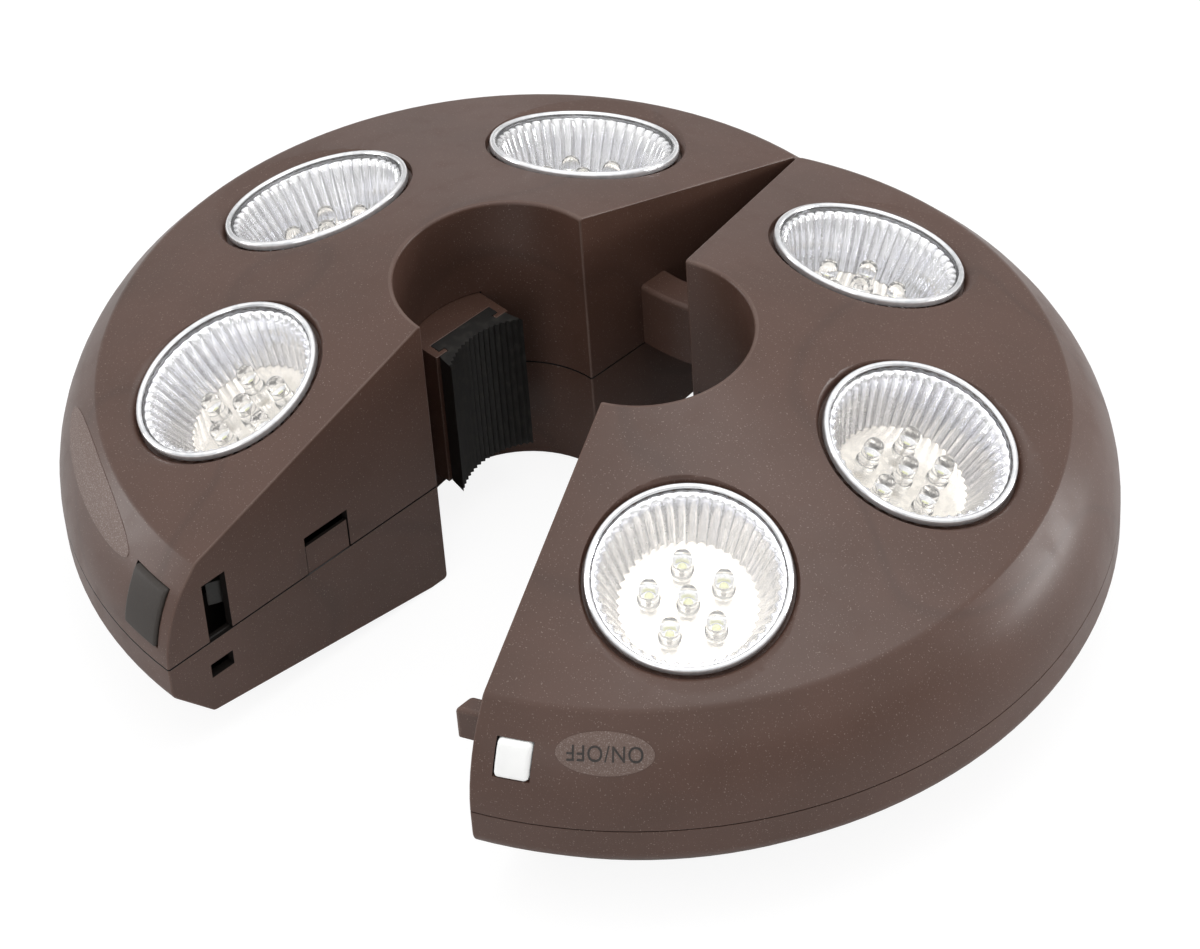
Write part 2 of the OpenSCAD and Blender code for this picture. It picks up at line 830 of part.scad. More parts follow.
// Helical spring along +Z: one unbroken tube
module coil(r, wire, length, turns) {
    sides = 4;
    steps = 8;
    n = turns * steps;
    rise = length - 2 * wire;
    points = [for (i = [0:n], j = [0:sides - 1])
        let (a = 360 * i / steps, b = 360 * j / sides, out = r + wire * cos(b))
        [out * cos(a), out * sin(a), wire + rise * i / n + wire * sin(b)]];
    sidewalls = [for (i = [0:n - 1], j = [0:sides - 1])
        let (p = i * sides + j, q = i * sides + (j + 1) % sides)
        each [[p, p + sides, q], [q, p + sides, q + sides]]];
    first = [for (j = [1:sides - 2]) [0, j, j + 1]];
    last = [for (j = [1:sides - 2]) [n * sides, n * sides + j + 1, n * sides + j]];
    polyhedron(points, concat(sidewalls, first, last), convexity = 10);
}

// ---------- Lamps ----------

// Clear lens: a rim that stands round a sunk disc
module lens() color([0.9, 0.93, 0.95, 0.4]) {
    rim = 1.4;
    rotate_extrude() polygon([
        [0, -lens_t], [lamp_r, -lens_t], [lamp_r, -0.5], [lamp_r - 0.5, 0],
        [lamp_r - rim, 0], [lamp_r - rim - 0.6, -lens_sink], [0, -lens_sink]
    ]);
}

// Scalloped ring: each flute bows outwards between two sharp ridges
function flute_ring(r) = [for (i = [0:flutes - 1], j = [0:3])
    let (a = 360 * (i + j / 4) / flutes, out = r + flute_d * sin(180 * j / 4))
    [out * cos(a), out * sin(a)]];

module reflector() color(silver) {
    top = -lens_t - 0.1;
    low = -cup_depth + 0.1;
    height = top - low;
    grow = (cup_mouth_r - cup_floor_r) / height;
    over = 0.5;
    difference() {
        rotate_extrude() polygon([
            [0, low], [cup_floor_r + cup_wall + flute_d - 0.7, low],
            [cup_mouth_r + cup_wall + flute_d - 0.9, top - flange_t], [lamp_r, top - flange_t],
            [lamp_r, top], [0, top]
        ]);
        translate([0, 0, low - over])
            linear_extrude(height + 2 * over,
                scale = (cup_mouth_r + grow * over) / (cup_floor_r - grow * over))
                polygon(flute_ring(cup_floor_r - grow * over));
    }
}

module led_board() color([0.93, 0.9, 0.84]) {
    translate([0, 0, -cup_depth - board_t]) cylinder(r = board_r, h = board_t);
}

module led() {
    n = 6;
    body = led_h - led_r;
    rotate_extrude($fn = 24) polygon(concat(
        [[0, 0], [led_r + 0.4, 0], [led_r + 0.4, 1], [led_r, 1]],
        [for (i = [0:n]) let (a = 90 * i / n) [i == n ? 0 : led_r * cos(a), body + led_r * sin(a)]]
    ));
}

module leds() color([0.95, 0.97, 0.98, 0.6]) translate([0, 0, -cup_depth]) {
    led();
    for (i = [0:led_count - 1]) rotate([0, 0, 180 + 360 * i / led_count])
        translate([led_ring_r, 0, 0]) led();
}

// ---------- Batteries ----------

module battery_door() {
    difference() {
        intersection() {
            base_solid(0);
            at_bay() block([-door_half_w, -door_half_l, -5], [door_half_w, door_half_l, 8]);
        }
        rotate_extrude() polygon(base_section(door_t));
        // Hollowed round the barrel, so that its edge passes the shell as it swings
        at_bay() door_socket(barrel_r + socket_gap + 0.7, door_half_l + 1);
    }
    at_bay() {
        door_socket(barrel_r, barrel_half);
        block([-barrel_x, -barrel_half, EPS], [-door_half_w + 2, barrel_half, door_t - 0.3]);
    }
}

// A cell along +Y, with its button
module cell() {
    nub = 1.2;
    rotate([-90, 0, 0]) translate([0, 0, -cell_l / 2]) {
        cylinder(r = cell_r, h = cell_l - nub);
        cylinder(r = 2.7, h = cell_l);
    }
}

module batteries() {
    at_bay() for (s = [-1, 1])
        translate([s * cell_pitch / 2, s * 1.2, cell_z]) rotate([0, 0, s * 90 - 90]) cell();
}

// Two end plates, each with a flat contact and a cone-shaped spring, drawn as its outer form
module battery_contacts() {
    plate = 0.5;
    room = bay_half_l - cell_l / 2 - 1.2 - plate;
    far = bay_half_l - cell_l / 2 + 1.2 - plate - 0.6;
    at_bay() for (s = [-1, 1]) {
        block([-bay_half_w + 1, min(s * bay_half_l, s * (bay_half_l - plate)), cell_z - 5],
            [bay_half_w - 1, max(s * bay_half_l, s * (bay_half_l - plate)), cell_z + 5]);
        translate([-s * cell_pitch / 2, s * (bay_half_l - plate + EPS), cell_z])
            rotate([s * 90, 0, 0]) cylinder(r1 = 3.6, r2 = 2.2, h = far);
        translate([s * cell_pitch / 2, s * (bay_half_l - plate - EPS), cell_z])
            rotate([s * 90, 0, 0]) cylinder(r = 2.4, h = room - 0.2);
    }
}

module left_battery_door() color(brown) on_left() battery_door();
module right_battery_door() color(brown) on_right() battery_door();
module left_batteries() color([0.2, 0.3, 0.35]) on_left() batteries();
module right_batteries() color([0.2, 0.3, 0.35]) on_right() batteries();
module left_battery_contacts() color(silver) on_left() battery_contacts();
module right_battery_contacts() color(silver) on_right() battery_contacts();

// ---------- Screws and electronics ----------

module screws() {
    head_h = 1.9;
    at_screws() translate([0, 0, seat_z - head_h - 0.05]) difference() {
        union() {
            cylinder(r1 = screw_head_r - 0.5, r2 = screw_head_r, h = 0.6);
            translate([0, 0, 0.6]) cylinder(r = screw_head_r, h = head_h - 0.6);
            cylinder(r = screw_r, h = screw_l);
        }
        for (a = [0, 90]) rotate([0, 0, a]) block([-1.6, -0.3, -1], [1.6, 0.3, 1]);
    }
}

module left_screws() color(silver) on_left() screws();
module right_screws() color(silver) on_right() screws();

module board_posts() {
    for (p = post_spots) translate([board_at.x + p.x, board_at.y + p.y, 0])
        cylinder(r = 2.5, h = board_z);
}

// Board with a chip and two upright capacitors
module driver_board() color([0.1, 0.35, 0.2]) on_right()
    translate([board_at.x, board_at.y, board_z]) {
        top = board_size.z - 0.1;
        cube(board_size);
        block([8, 6, top], [16, 12, top + 1.7]);
        for (x = [21, 28]) translate([x, 10, top]) cylinder(r = 2.6, h = 8);
    }

left_top_shell();
left_base_shell();
right_top_shell();
right_base_shell();
hinge_pin();
on_lamp(1) lens();  // lens_1
on_lamp(2) lens();  // lens_2
on_lamp(3) lens();  // lens_3
on_lamp(4) lens();  // lens_4
on_lamp(5) lens();  // lens_5
on_lamp(6) lens();  // lens_6
on_lamp(1) reflector();  // reflector_1
on_lamp(2) reflector();  // reflector_2
on_lamp(3) reflector();  // reflector_3
on_lamp(4) reflector();  // reflector_4
on_lamp(5) reflector();  // reflector_5
on_lamp(6) reflector();  // reflector_6
on_lamp(1) led_board();  // led_board_1
on_lamp(2) led_board();  // led_board_2
on_lamp(3) led_board();  // led_board_3
on_lamp(4) led_board();  // led_board_4
on_lamp(5) led_board();  // led_board_5
on_lamp(6) led_board();  // led_board_6
on_lamp(1) leds();  // leds_1
on_lamp(2) leds();  // leds_2
on_lamp(3) leds();  // leds_3
on_lamp(4) leds();  // leds_4
on_lamp(5) leds();  // leds_5
on_lamp(6) leds();  // leds_6
lock_button();
latch_bolt();
lock_spring();
power_button();
power_switch();
left_pad_carrier();
left_pad_rubber();
left_pad_springs();
right_pad_carrier();
right_pad_rubber();
right_pad_springs();
left_battery_door();
left_batteries();
left_battery_contacts();
right_battery_door();
right_batteries();
right_battery_contacts();
left_screws();
right_screws();
driver_board();
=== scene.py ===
import json
import math

import bmesh
import bpy
from mathutils import Matrix, Vector
from mathutils.bvhtree import BVHTree


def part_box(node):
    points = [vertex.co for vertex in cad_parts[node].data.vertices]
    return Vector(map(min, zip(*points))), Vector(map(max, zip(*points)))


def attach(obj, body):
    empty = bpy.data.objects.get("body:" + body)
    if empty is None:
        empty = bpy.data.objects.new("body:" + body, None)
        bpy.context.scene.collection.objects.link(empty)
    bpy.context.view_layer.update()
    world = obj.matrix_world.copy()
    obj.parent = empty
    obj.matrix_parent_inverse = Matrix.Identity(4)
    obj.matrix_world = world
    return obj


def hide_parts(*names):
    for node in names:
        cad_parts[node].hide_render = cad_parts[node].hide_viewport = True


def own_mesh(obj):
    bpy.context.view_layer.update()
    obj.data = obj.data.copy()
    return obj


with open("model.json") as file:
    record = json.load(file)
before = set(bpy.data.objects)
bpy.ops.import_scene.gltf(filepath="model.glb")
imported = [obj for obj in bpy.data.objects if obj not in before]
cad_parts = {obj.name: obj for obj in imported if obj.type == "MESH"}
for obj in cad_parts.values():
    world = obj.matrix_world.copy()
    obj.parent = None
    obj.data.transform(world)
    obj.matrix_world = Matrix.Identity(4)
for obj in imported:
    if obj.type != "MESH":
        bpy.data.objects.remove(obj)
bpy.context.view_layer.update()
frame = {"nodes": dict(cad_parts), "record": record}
nodes = frame["nodes"]

# ---------------------------------------------------------------- camera
# The photograph was taken from above on the right, with a long lens and the camera
# rolled a little. Its place is kept as direction, height, distance and focal length.
AIM = Vector((0.0407, -0.04908, 0.08555))
CAMERA_TURN = math.radians(37.03)
CAMERA_HEIGHT = math.radians(42.84)
CAMERA_DISTANCE = 1.11778
CAMERA_ROLL = math.radians(-4.37)
CAMERA_LENS = 140.8         # millimetres, over a sensor 36 mm wide

towards = Vector((
    math.sin(CAMERA_TURN) * math.cos(CAMERA_HEIGHT),
    -math.cos(CAMERA_TURN) * math.cos(CAMERA_HEIGHT),
    math.sin(CAMERA_HEIGHT),
))
level = Vector((0, 0, 1)).cross(towards).normalized()
above = towards.cross(level)
rightward = level * math.cos(CAMERA_ROLL) + above * math.sin(CAMERA_ROLL)
upward = above * math.cos(CAMERA_ROLL) - level * math.sin(CAMERA_ROLL)
camera_turn = Matrix((rightward, upward, towards)).transposed().to_4x4()
camera_data = bpy.data.cameras.new("photo_camera")
camera_data.lens = CAMERA_LENS
camera_data.sensor_width = 36
camera_data.clip_start = 0.05
camera = bpy.data.objects.new("photo_camera", camera_data)
camera.matrix_world = Matrix.Translation(AIM + towards * CAMERA_DISTANCE) @ camera_turn
bpy.context.scene.collection.objects.link(camera)
bpy.context.scene.camera = camera
bpy.context.scene.view_settings.view_transform = "Standard"


# ---------------------------------------------------------------- floor and light
# A white table under the light, a bright ceiling over it that fades towards the horizon,
# and soft boxes overhead, in front and at both sides, as in a product studio.
class Wire:
    """A shader socket that Python's own signs work on."""

    def __init__(self, finish, socket):
        self.finish = finish
        self.socket = socket

    def math(self, operation, *values):
        return self.finish.node("ShaderNodeMath", {"operation": operation}, *values)

    def __add__(self, other):
        return self.math("ADD", self, other)

    def __rsub__(self, other):
        return self.math("SUBTRACT", other, self)

    def __mul__(self, other):
        return self.math("MULTIPLY", self, other)

    __radd__ = __add__
    __rmul__ = __mul__

    def smooth(self, low, high):
        """0 below low, 1 above high, with a soft step between."""
        return self.finish.node("ShaderNodeMapRange", {"interpolation_type": "SMOOTHSTEP"},
                                Value=self, From_Min=low, From_Max=high)


class Finish:
    """Node tree of one surface finish, or of the studio's sky."""

    def __init__(self, name, tree=None, **sockets):
        if tree is None:
            self.material = bpy.data.materials.new(name)
            self.material.use_nodes = True
            tree = self.material.node_tree
        self.tree = tree
        self.shader = tree.nodes.get("Principled BSDF")
        if sockets:
            self.set(**sockets)

    def plug(self, socket, value):
        if isinstance(value, Wire):
            self.tree.links.new(value.socket, socket)
        elif socket.type == "RGBA":
            socket.default_value = (*value[:3], 1)
        else:
            socket.default_value = value

    def set(self, **sockets):
        for name, value in sockets.items():
            self.plug(self.shader.inputs[name.replace("_", " ")], value)

    def node(self, kind, settings=None, *values, output=0, **sockets):
        made = self.tree.nodes.new(kind)
        for name, value in (settings or {}).items():
            setattr(made, name, value)
        for socket, value in zip(made.inputs, values):
            self.plug(socket, value)
        for name, value in sockets.items():
            self.plug(made.inputs[name.replace("_", " ")], value)
        return Wire(self, made.outputs[output])

    def spot(self, stretch=(1, 1, 1)):
        place = self.node("ShaderNodeTexCoord", output="Object")
        return self.node("ShaderNodeMapping", None, Vector=place, Scale=stretch)

    def noise(self, scale, detail=2.0, stretch=(1, 1, 1)):
        return self.node("ShaderNodeTexNoise", None, Vector=self.spot(stretch), Scale=scale,
                         Detail=detail)

    def blend(self, factor, a, b):
        made = self.tree.nodes.new("ShaderNodeMix")
        made.data_type = "RGBA"
        self.plug(made.inputs[0], factor)
        self.plug(made.inputs[6], a)
        self.plug(made.inputs[7], b)
        return Wire(self, made.outputs[2])

    def bump(self, height, depth, strength=1.0):
        return self.node("ShaderNodeBump", None, Height=height, Distance=depth,
                         Strength=strength)


TABLE_WHITE = (0.72, 0.72, 0.72)
TABLE_GLOW = 1.14           # the even white that the camera sees in place of the rest
SHADOW_SHARE = 0.22         # how much of the table's own shading the camera sees

bpy.ops.mesh.primitive_plane_add(size=8, location=(0, 0, -0.0003))
table = bpy.context.object
table.name = "table"
table_white = Finish("table_white", Base_Color=TABLE_WHITE, Roughness=0.9)
seen = table_white.node("ShaderNodeLightPath", output="Is Camera Ray")
glow = table_white.node("ShaderNodeEmission", None, (1, 1, 1), TABLE_GLOW)
shaded = Wire(table_white, table_white.shader.outputs[0])
mixed = table_white.node("ShaderNodeMixShader", None, seen * (1 - SHADOW_SHARE), shaded, glow)
table_white.plug(table_white.tree.nodes["Material Output"].inputs["Surface"], mixed)
table.data.materials.append(table_white.material)

world = bpy.data.worlds.new("studio")
world.use_nodes = True
bpy.context.scene.world = world
sky = Finish("studio", world.node_tree)
ray = sky.node("ShaderNodeTexCoord", output="Generated")
height = sky.node("ShaderNodeSeparateXYZ", None, ray, output="Z")
seen = sky.node("ShaderNodeLightPath", output="Is Camera Ray")
through = sky.node("ShaderNodeLightPath", output="Is Transmission Ray")
gloss = sky.node("ShaderNodeLightPath", output="Is Glossy Ray")
mirrored = gloss.math("MAXIMUM", gloss, through)
ceiling = (mirrored * (0.42 + 0.9 * height.smooth(-0.1, 0.85))
           + (1 - mirrored) * (0.20 + 0.90 * height.smooth(-0.2, 0.9)))
sky.plug(world.node_tree.nodes["Background"].inputs["Color"], (1, 1, 1))
sky.plug(world.node_tree.nodes["Background"].inputs["Strength"],
         seen + (1 - seen) * ceiling)


def soft_box(name, place, size, power):
    lamp = bpy.data.lights.new(name, "AREA")
    lamp.shape = "RECTANGLE"
    lamp.size, lamp.size_y = size
    lamp.energy = power
    box = bpy.data.objects.new(name, lamp)
    box.location = place
    box.rotation_euler = (-Vector(place)).to_track_quat("-Z", "Y").to_euler()
    bpy.context.scene.collection.objects.link(box)


soft_box("overhead_box", (0.1, 0.25, 1.2), (0.9, 0.7), 3.5)
soft_box("front_box", (0.3, -1.4, 0.35), (0.7, 0.5), 1.6)
soft_box("right_box", (1.1, 1.0, 0.2), (0.7, 0.3), 8.5)
soft_box("left_box", (-1.2, -0.5, 0.25), (0.5, 0.5), 4)

# ---------------------------------------------------------------- case shells
# Four mouldings in dark brown plastic, satin, with fine pale specks in it. Each pair
# meets at the seam and is screwed together from below. All outer edges are rounded and
# painted a little paler as a highlight, the cut faces' edges are crisper, and the inside,
# the walls of holes and slots and the seam's shadow line are painted near black as shade.
MM = 0.001
HINGE_Y = 0.1047            # from the middle of the shut light to the hinge
HINGE_AT = Vector((0, 0.1012755, 0))
HALF_OPEN = math.radians(11.7)
SEAM_Z = 0.0328
BROWN = (0.084, 0.043, 0.031)
BROWN_DEEP = (0.074, 0.038, 0.027)
# painted highlight: the paler brown of the rounded edges
BROWN_PAINTED_HIGHLIGHT = (0.115, 0.070, 0.055)
# painted shade: near black for the inside, the walls of holes and slots and the shadow line
BROWN_PAINTED_SHADE = (0.011, 0.009, 0.008)
SPECK = (0.26, 0.20, 0.17)
EDGE_ROUND = 0.0012
CUT_ROUND = 0.0005
SEAM_ROUND = 0.00015
SHARP = math.radians(32)    # edges that are rounded or kept crisp
RAY_START = 0.00005         # how far off its face a ray starts
CASE_REACH = 0.3            # longer than any way across the inside of the case
LOOKS = 12                  # ways in which a face looks round
WALLS_MET = 5               # looks that meet the case, for a face that is inside it
FACING_WALL = 0.1           # and its opposite wall is nearer than this


def plastic(name, colour, deep, specks=0.45):
    """Satin moulded plastic with pale specks, faint flow marks and a very fine grain."""
    finish = Finish(name, Specular_IOR_Level=0.4)
    speck = finish.noise(2600, 0).smooth(0.72, 0.80)
    cloud = finish.noise(45, 3).smooth(0.3, 0.7)
    flow = finish.noise(11, 1)
    mark = flow.smooth(0.485, 0.5) * (1 - flow.smooth(0.5, 0.52))
    grain = finish.noise(3000, 1)
    wear = finish.noise(120, 4).smooth(0.45, 0.8)
    base = finish.blend(mark * 0.16, finish.blend(cloud, deep, colour), (0.02, 0.012, 0.01))
    finish.set(Base_Color=finish.blend(speck * specks, base, SPECK),
               Roughness=0.37 + 0.08 * wear,
               Normal=finish.bump(grain, 0.00003, 0.3))
    return finish.material


def nothing_picked():
    if bpy.context.object and bpy.context.object.mode != "OBJECT":
        bpy.ops.object.mode_set(mode="OBJECT")
    bpy.ops.object.select_all(action="DESELECT")


def work_on(piece):
    """Make a piece the only one picked."""
    nothing_picked()
    piece.select_set(True)
    bpy.context.view_layer.objects.active = piece
    return piece


def pick(piece, kind, test):
    """Open a piece's mesh and pick the faces, edges or points that pass a test."""
    bpy.ops.object.mode_set(mode="EDIT")
    bpy.ops.mesh.select_mode(type={"faces": "FACE", "edges": "EDGE", "verts": "VERT"}[kind])
    bpy.ops.mesh.select_all(action="DESELECT")
    shape = bmesh.from_edit_mesh(piece.data)
    count = 0
    for part in getattr(shape, kind):
        if test(part):
            part.select_set(True)
            count += 1
    shape.select_flush_mode()
    bmesh.update_edit_mesh(piece.data)
    return count


def smooth_by(piece, degrees):
    work_on(piece)
    bpy.ops.object.shade_smooth_by_angle(angle=math.radians(degrees))


def apply_modifier(piece, kind, **settings):
    """Add a modifier to a piece and make it part of its mesh."""
    work_on(piece)
    made = piece.modifiers.new(kind.lower(), kind)
    for name, value in settings.items():
        setattr(made, name, value)
    bpy.ops.object.modifier_apply(modifier=made.name)


def dress(piece, body, slot, *materials):
    """Give a finished piece its materials and its body; its slot is not used."""
    nothing_picked()
    slots = piece.data.materials
    for i, material in enumerate(materials):
        if i < len(slots):
            slots[i] = material
        else:
            slots.append(material)
    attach(piece, body)


def copy_of(node, name):
    """A merged copy of a frame piece, open for work."""
    piece = bpy.data.objects.new(name, nodes[node].data.copy())
    bpy.context.scene.collection.objects.link(piece)
    work_on(piece)
    bpy.ops.object.mode_set(mode="EDIT")
    bpy.ops.mesh.select_all(action="SELECT")
    bpy.ops.mesh.remove_doubles(threshold=0.000002)
    bpy.ops.mesh.normals_make_consistent(inside=False)
    pick(piece, "faces", lambda face: not is_seam(face))
    bpy.ops.mesh.dissolve_limited(angle_limit=math.radians(0.1))
    bpy.ops.object.mode_set(mode="OBJECT")
    return piece


def open_side(piece, downwards):
    """Faces of a shell that nothing of the shell itself stands in front of."""
    shape = bmesh.new()
    shape.from_mesh(piece.data)
    tree = BVHTree.FromBMesh(shape)
    found = set()
    for face in shape.faces:
        normal = face.normal
        if is_seam(face) or (normal.z if downwards else -normal.z) > 0.35:
            continue
        start = face.calc_center_median() + normal * RAY_START
        if tree.ray_cast(start, normal)[0] is None:
            found.add(face.index)
    shape.free()
    return found


def is_seam(face):
    return abs(face.normal.z) > 0.99 and abs(face.calc_center_median().z - SEAM_Z) < 0.0004


def is_shadow_line(face):
    return all(-0.0003 < point.co.z - SEAM_Z < 0.00002 for point in face.verts)


def inner_faces(piece, *case):
    """Faces inside the case, and the walls of its holes and slots."""
    shape = bmesh.new()
    for node in case:
        shape.from_mesh(nodes[node].data)
    tree = BVHTree.FromBMesh(shape)
    shape.clear()
    shape.from_mesh(piece.data)
    found = set()
    for face in shape.faces:
        across = face.normal.orthogonal()
        start = face.calc_center_median() + face.normal * RAY_START
        looks = [face.normal + Matrix.Rotation(k * math.tau / LOOKS, 3, face.normal) @ across
                 for k in range(LOOKS)]
        met = sum(tree.ray_cast(start, look, CASE_REACH)[0] is not None for look in looks)
        if met >= WALLS_MET and tree.ray_cast(start, face.normal, FACING_WALL)[0] is not None:
            found.add(face.index)
    shape.free()
    return found


def assign(piece, slot, test):
    """Give the faces that pass a test another of the piece's materials."""
    work_on(piece)
    pick(piece, "faces", test)
    piece.active_material_index = slot
    bpy.ops.object.material_slot_assign()
    bpy.ops.object.mode_set(mode="OBJECT")


def sharp(edge):
    return len(edge.link_faces) == 2 and edge.calc_face_angle() > SHARP


def close_to(node, reach):
    """Test of an edge: does it lie in a node's box, grown by some reach?"""
    low, high = (Vector(corner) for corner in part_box(node))
    grow = Vector((reach, reach, reach))

    def test(edge):
        return all(all(a <= b <= c for a, b, c in zip(low - grow, point.co, high + grow))
                   for point in edge.verts)
    return test


def round_off(piece, test, width, steps, clamp=False, slot=1):
    if pick(piece, "edges", test):
        bpy.ops.mesh.bevel(offset_type="OFFSET", offset=width, segments=steps,
                           clamp_overlap=clamp, material=slot)
    bpy.ops.object.mode_set(mode="OBJECT")


def moulded_shell(node, name, body, downwards):
    """A shell with rounded outer edges painted paler as a highlight, crisper cut edges, and its
    inside painted dark as shade.
    """
    piece = copy_of(node, name)
    while len(piece.data.materials) < 4:
        piece.data.materials.append(None)
    side = body.split("_")[0]
    sign = 1 if side == "left" else -1
    button = close_to("lock_button" if side == "left" else "power_button", 0.002)
    lenses = [close_to(f"lens_{n}", 0.0022) for n in ((1, 2, 3) if side == "left" else (4, 5, 6))]
    across = Matrix.Rotation(-sign * HALF_OPEN, 3, "Z") @ Vector((sign, 0, 0))
    outside = open_side(piece, downwards)
    inside = inner_faces(piece, f"{side}_top_shell", f"{side}_base_shell")
    assign(piece, 3, lambda face: face.index in outside)
    # faces inside the case and the seam's shadow line get the near-black painted shade
    assign(piece, 2, lambda face: face.index in inside or is_shadow_line(face))

    def on_cut(face):
        behind = (face.calc_center_median() - HINGE_AT).dot(across)
        return face.normal.dot(across) > 0.99 and abs(behind) < 0.002

    def main(edge):
        return (sharp(edge) and edge.calc_face_angle_signed() > 0
                and all(face.material_index in (1, 3) for face in edge.link_faces)
                and not any(lens_box(edge) for lens_box in lenses))

    def cut(edge):
        return main(edge) and any(on_cut(face) for face in edge.link_faces)

    def seam(edge):
        return sharp(edge) and any(is_seam(face) for face in edge.link_faces)

    # the rounded edges get the paler brown, a painted highlight
    round_off(piece, lambda edge: main(edge) and not cut(edge) and not button(edge),
              EDGE_ROUND, 4)
    round_off(piece, cut, CUT_ROUND, 3)
    # on the left the seam's rounded edge gets the painted shade too, making the dark line wider
    round_off(piece, seam, SEAM_ROUND, 2, slot=2 if side == "left" else 0)
    smooth_by(piece, 35)
    pick(piece, "edges", sharp)
    bpy.ops.mesh.mark_sharp()
    apply_modifier(piece, "WEIGHTED_NORMAL", keep_sharp=True, mode="FACE_AREA_WITH_ANGLE")
    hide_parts(node)
    dress(piece, body, "shell_brown", shell_brown, shell_painted_highlight, shell_painted_shade, shell_brown)
    return piece


shell_brown = plastic("brown_plastic", BROWN, BROWN_DEEP)
# paler brown for the rounded edges: a painted highlight
shell_painted_highlight = plastic("brown_edges", BROWN_PAINTED_HIGHLIGHT, BROWN, 0.3)
# near-black brown of the same plastic: painted shade for the inside and the hole walls
shell_painted_shade = plastic("brown_inside", BROWN_PAINTED_SHADE, BROWN_PAINTED_SHADE, 0.05)
left_upper = moulded_shell("left_top_shell", "left_upper_shell", "left_half", False)
right_upper = moulded_shell("right_top_shell", "right_upper_shell", "right_half", False)
moulded_shell("left_base_shell", "left_lower_shell", "left_half", True)
moulded_shell("right_base_shell", "right_lower_shell", "right_half", True)


# ---------------------------------------------------------------- oval labels
# Thin oval fields on the flank of the upper shells, with a coarse sparkling texture. The
# one beside the power button has plain dark switch lettering, read from the far side.
LABEL_SIZE = (0.0235, 0.0108)
LABEL_AT = (-73.5, 52.2, 34.5)      # degrees round the shut light, height, slope
BARE_SIZE = (0.058, 0.0105)
BARE_AT = (-116.25, 54.6, 35.5)
LABEL_PROUD = 0.00012
LETTERS_WIDE = 0.0181
LETTERS_TALLER = 1.18       # than the typeface's own


def half_place(side):
    """Place of one half: from the middle of the shut light to where it stands open."""
    return (Matrix.Translation(HINGE_AT) @ Matrix.Rotation(side * HALF_OPEN, 4, "Z")
            @ Matrix.Translation((0, -HINGE_Y, 0)))


def on_flank(side, at, radius=0.135):
    """Place off the flank, its own Z axis towards the shell's outside and +Y down it."""
    turn, height, slope = at
    out = Matrix.Rotation(math.radians(turn), 4, "Z") @ Matrix.Translation(
        (radius, 0, height * MM + (radius - 0.111) * math.tan(math.radians(slope))))
    return (half_place(side) @ out @ Matrix.Rotation(math.radians(90 - slope), 4, "Y")
            @ Matrix.Rotation(math.radians(-90), 4, "Z"))


def lay_on(piece, shell, proud):
    """Press a flat piece along its own Z axis onto a shell, then keep its place."""
    apply_modifier(piece, "SHRINKWRAP", target=shell, wrap_method="PROJECT",
                   use_project_z=True, use_negative_direction=True,
                   use_positive_direction=False, offset=proud)
    work_on(piece)
    bpy.ops.object.transform_apply(location=True, rotation=True, scale=True)


def oval_field(name, size, place, shell, body):
    nothing_picked()
    bpy.ops.mesh.primitive_circle_add(vertices=72, radius=0.5, fill_type="TRIFAN")
    piece = bpy.context.object
    piece.name = name
    bpy.ops.object.mode_set(mode="EDIT")
    bpy.ops.mesh.select_all(action="SELECT")
    bpy.ops.mesh.subdivide(number_cuts=3)
    bpy.ops.transform.resize(value=(size[0], size[1], 1))
    bpy.ops.object.mode_set(mode="OBJECT")
    piece.matrix_world = place
    lay_on(piece, shell, LABEL_PROUD)
    apply_modifier(piece, "SOLIDIFY", thickness=0.00025, offset=-1)
    smooth_by(piece, 40)
    dress(piece, body, "shell_brown", label_brown)


sparkle = Finish("label_brown")
glint = sparkle.noise(3000, 1).smooth(0.52, 0.72)
sparkle.set(Base_Color=sparkle.blend(glint * 0.6, (0.125, 0.080, 0.065), (0.29, 0.23, 0.205)),
            Roughness=0.55 - 0.15 * glint,
            Normal=sparkle.bump(sparkle.noise(2200, 2), 0.00012, 0.8))
label_brown = sparkle.material
# the letters are coloured near black, a little mottled
letter_dark = Finish("label_ink")
letter_dark.set(Base_Color=letter_dark.blend(letter_dark.noise(900, 2).smooth(0.35, 0.7), (0.014, 0.010, 0.008),
                             (0.024, 0.016, 0.013)), Roughness=0.5)

oval_field("left_oval_field", BARE_SIZE, on_flank(-1, BARE_AT), left_upper, "left_half")
oval_field("switch_label", LABEL_SIZE, on_flank(1, LABEL_AT), right_upper, "right_half")

nothing_picked()
bpy.ops.object.text_add()
letters = bpy.context.object
letters.name = "switch_lettering"
letters.data.body = "ON/OFF"
letters.data.space_character = 1.08
bpy.ops.object.convert(target="MESH")
letters = bpy.context.object
bpy.ops.object.origin_set(type="GEOMETRY_ORIGIN", center="BOUNDS")
wide = LETTERS_WIDE / letters.dimensions.x
letters.scale = (wide, wide * LETTERS_TALLER, wide)
bpy.ops.object.transform_apply(location=False, rotation=False, scale=True)
letters.matrix_world = on_flank(1, LABEL_AT)
lay_on(letters, right_upper, LABEL_PROUD + 0.0001)
apply_modifier(letters, "SOLIDIFY", thickness=0.0001, offset=-1)
dress(letters, "right_half", "button_black", letter_dark.material)


